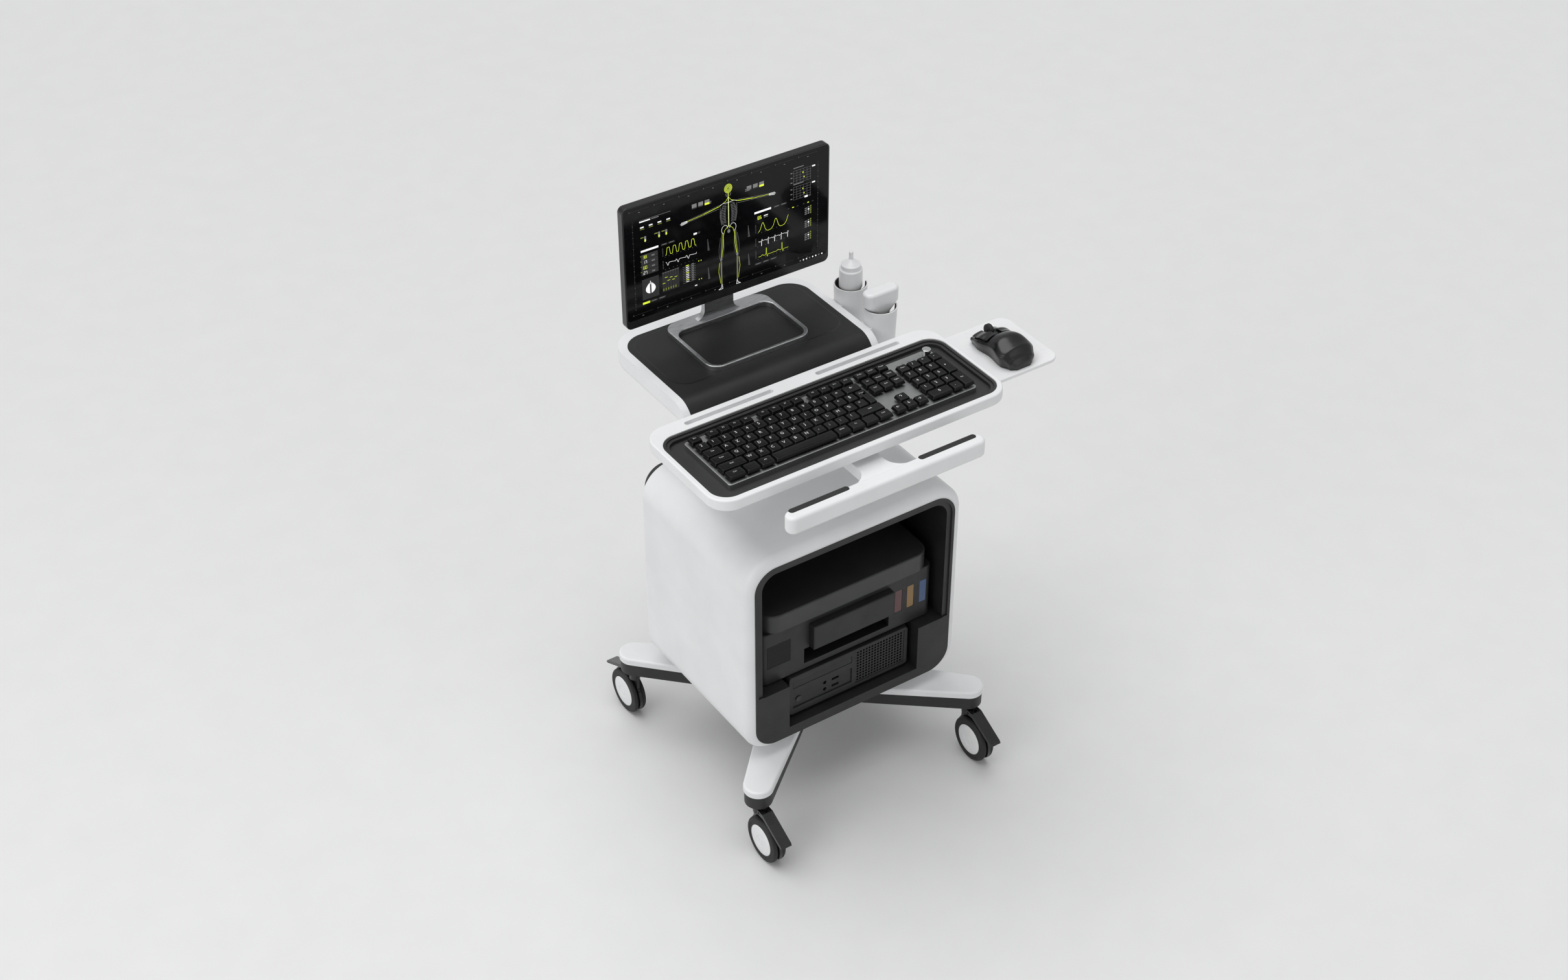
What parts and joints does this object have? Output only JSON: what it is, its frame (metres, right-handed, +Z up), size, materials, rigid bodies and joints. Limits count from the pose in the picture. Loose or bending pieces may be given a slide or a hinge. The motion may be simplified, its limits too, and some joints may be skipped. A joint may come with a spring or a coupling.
{
  "type": "mobile ultrasound machine",
  "caption": "Wheeled ultrasound workstation: braked casters, cabinet with printer and computer, lift column, keyboard tray, tilting monitor, mouse shelf and probe cups.",
  "frame": {"origin": "on the floor, under the centre of the base hub", "axes": "+X to the user's right, +Y to the back, +Z up"},
  "size_m": [0.632, 0.52, 0.93],
  "materials": {
    "white_shell": "fine satin texture",
    "charcoal_plastic": "fine matte texture",
    "black_frame": "powder coat",
    "black_plastic": "satin",
    "steel": "zinc plated",
    "brushed_aluminium": "brushed",
    "tyre_rubber": "matt",
    "grip_rubber": "soft touch",
    "screen_glass": "polished",
    "ink_windows": "tinted clear",
    "key_plate": "bead blasted",
    "key_black": "fine texture",
    "circuit_metal": "plain"
  },
  "bodies": {
    "base": {"base_frame": "black_frame", "leg_covers": "white_shell", "cabinet_shell": "white_shell", "front_lining": "charcoal_plastic", "rear_cover": "charcoal_plastic", "rear_cover_screws": "steel", "printer_body": "charcoal_plastic", "printer_windows": "ink_windows", "pc_case": "charcoal_plastic", "pc_front_panel": "charcoal_plastic", "power_supply": "circuit_metal", "mains_inlet": "black_plastic", "column_outer": "brushed_aluminium", "gas_spring_cylinder": "steel"},
    "carriage": {"column_inner": "brushed_aluminium", "gas_spring_rod": "steel", "deck_shell": "white_shell", "deck_top": "charcoal_plastic", "tray_shell": "white_shell", "tray_liner": "charcoal_plastic", "handle_bar": "white_shell", "handle_grips": "grip_rubber", "probe_cups": "white_shell", "cup_linings": "charcoal_plastic", "monitor_stand": "brushed_aluminium", "keyboard_base": "key_plate"},
    "monitor": {"monitor_housing": "black_plastic", "monitor_bezel": "black_plastic", "monitor_glass": "screen_glass"},
    "lid": {"printer_lid": "charcoal_plastic"},
    "cassette": {"printer_cassette": "charcoal_plastic"},
    "disc_tray": {"pc_disc_tray": "black_plastic"},
    "power_button": {"pc_power_button": "black_plastic"},
    "keys_main": {"keys_main": "key_black"},
    "space_key": {"key_space": "key_black"},
    "keys_block": {"keys_block": "key_black"},
    "knob": {"keyboard_knob": "key_plate"},
    "mouse_shelf": {"mouse_plate": "white_shell"},
    "mouse": {"mouse_body": "black_plastic"},
    "left_button": {"mouse_left_button": "black_plastic"},
    "right_button": {"mouse_right_button": "black_plastic"},
    "scroll_wheel": {"mouse_wheel": "grip_rubber"},
    "rear_probe": {"probe_rear": "white_shell"},
    "front_probe": {"probe_front": "white_shell"},
    "fork_fl": {"caster_fork_fl": "black_plastic"},
    "wheel_fl": {"caster_tyre_fl": "tyre_rubber", "caster_hub_cap_fl": "white_shell"},
    "pedal_fl": {"caster_pedal_fl": "black_plastic"},
    "fork_fr": {"caster_fork_fr": "black_plastic"},
    "wheel_fr": {"caster_tyre_fr": "tyre_rubber", "caster_hub_cap_fr": "white_shell"},
    "pedal_fr": {"caster_pedal_fr": "black_plastic"},
    "fork_bl": {"caster_fork_bl": "black_plastic"},
    "wheel_bl": {"caster_tyre_bl": "tyre_rubber", "caster_hub_cap_bl": "white_shell"},
    "pedal_bl": {"caster_pedal_bl": "black_plastic"},
    "fork_br": {"caster_fork_br": "black_plastic"},
    "wheel_br": {"caster_tyre_br": "tyre_rubber", "caster_hub_cap_br": "white_shell"},
    "pedal_br": {"caster_pedal_br": "black_plastic"}
  },
  "joints": [
    {"name": "swivel_fl", "type": "hinge", "parent": "base", "child": "fork_fl", "pos_m": [-0.1975, -0.1805, 0.1], "axis": [0, 0, 1], "continuous": true},
    {"name": "roll_fl", "type": "hinge", "parent": "fork_fl", "child": "wheel_fl", "pos_m": [-0.1975, -0.202, 0.038], "axis": [1, 0, 0], "continuous": true},
    {"name": "brake_fl", "type": "hinge", "parent": "fork_fl", "child": "pedal_fl", "pos_m": [-0.1975, -0.1945, 0.088], "axis": [1, 0, 0], "range_deg": [0, 4]},
    {"name": "swivel_fr", "type": "hinge", "parent": "base", "child": "fork_fr", "pos_m": [0.1975, -0.1805, 0.1], "axis": [0, 0, 1], "continuous": true},
    {"name": "roll_fr", "type": "hinge", "parent": "fork_fr", "child": "wheel_fr", "pos_m": [0.1975, -0.202, 0.038], "axis": [1, 0, 0], "continuous": true},
    {"name": "brake_fr", "type": "hinge", "parent": "fork_fr", "child": "pedal_fr", "pos_m": [0.1975, -0.1945, 0.088], "axis": [1, 0, 0], "range_deg": [0, 4]},
    {"name": "swivel_bl", "type": "hinge", "parent": "base", "child": "fork_bl", "pos_m": [-0.1975, 0.1805, 0.1], "axis": [0, 0, 1], "continuous": true},
    {"name": "roll_bl", "type": "hinge", "parent": "fork_bl", "child": "wheel_bl", "pos_m": [-0.1975, 0.202, 0.038], "axis": [1, 0, 0], "continuous": true},
    {"name": "brake_bl", "type": "hinge", "parent": "fork_bl", "child": "pedal_bl", "pos_m": [-0.1975, 0.1945, 0.088], "axis": [-1, 0, 0], "range_deg": [0, 4]},
    {"name": "swivel_br", "type": "hinge", "parent": "base", "child": "fork_br", "pos_m": [0.1975, 0.1805, 0.1], "axis": [0, 0, 1], "continuous": true},
    {"name": "roll_br", "type": "hinge", "parent": "fork_br", "child": "wheel_br", "pos_m": [0.1975, 0.202, 0.038], "axis": [1, 0, 0], "continuous": true},
    {"name": "brake_br", "type": "hinge", "parent": "fork_br", "child": "pedal_br", "pos_m": [0.1975, 0.1945, 0.088], "axis": [-1, 0, 0], "range_deg": [0, 4]},
    {"name": "printer_lid_hinge", "type": "hinge", "parent": "base", "child": "lid", "pos_m": [0, 0.046, 0.366], "axis": [-1, 0, 0], "range_deg": [0, 25]},
    {"name": "cassette_slide", "type": "slide", "parent": "base", "child": "cassette", "axis": [0, -1, 0], "range_m": [0, 0.05]},
    {"name": "disc_tray_slide", "type": "slide", "parent": "base", "child": "disc_tray", "axis": [0, -1, 0], "range_m": [0, 0.12]},
    {"name": "power_press", "type": "slide", "parent": "base", "child": "power_button", "axis": [0, 1, 0], "range_m": [0, 0.0025], "stiffness_N_per_m": 400, "springref_m": -0.001},
    {"name": "lift", "type": "slide", "parent": "base", "child": "carriage", "axis": [0, 0, 1], "range_m": [0, 0.25]},
    {"name": "monitor_tilt", "type": "hinge", "parent": "carriage", "child": "monitor", "pos_m": [0, 0.2225, 0.8297], "axis": [1, 0, 0], "range_deg": [-15, 5]},
    {"name": "keys_main_press", "type": "slide", "parent": "carriage", "child": "keys_main", "axis": [0, 0, -1], "range_m": [0, 0.0025], "stiffness_N_per_m": 3000, "springref_m": -0.002},
    {"name": "space_press", "type": "slide", "parent": "carriage", "child": "space_key", "axis": [0, 0, -1], "range_m": [0, 0.0025], "stiffness_N_per_m": 400, "springref_m": -0.002},
    {"name": "keys_block_press", "type": "slide", "parent": "carriage", "child": "keys_block", "axis": [0, 0, -1], "range_m": [0, 0.0025], "stiffness_N_per_m": 1500, "springref_m": -0.002},
    {"name": "knob_turn", "type": "hinge", "parent": "carriage", "child": "knob", "pos_m": [0.199, -0.0344, 0.675], "axis": [0, 0, 1], "continuous": true},
    {"name": "shelf_slide", "type": "slide", "parent": "carriage", "child": "mouse_shelf", "axis": [1, 0, 0], "range_m": [-0.03, 0.05]},
    {"name": "mouse_lift", "type": "slide", "parent": "mouse_shelf", "child": "mouse", "axis": [0, 0, 1], "range_m": [0, 0.05]},
    {"name": "left_click", "type": "slide", "parent": "mouse", "child": "left_button", "axis": [0, 0, -1], "range_m": [0, 0.001], "stiffness_N_per_m": 800, "springref_m": -0.001},
    {"name": "right_click", "type": "slide", "parent": "mouse", "child": "right_button", "axis": [0, 0, -1], "range_m": [0, 0.001], "stiffness_N_per_m": 800, "springref_m": -0.001},
    {"name": "scroll", "type": "hinge", "parent": "mouse", "child": "scroll_wheel", "pos_m": [0.316, -0.034, 0.672], "axis": [1, 0, 0], "continuous": true},
    {"name": "rear_probe_lift", "type": "slide", "parent": "carriage", "child": "rear_probe", "axis": [0, 0, 1], "range_m": [0, 0.12]},
    {"name": "front_probe_lift", "type": "slide", "parent": "carriage", "child": "front_probe", "axis": [0, 0, 1], "range_m": [0, 0.12]}
  ]
}
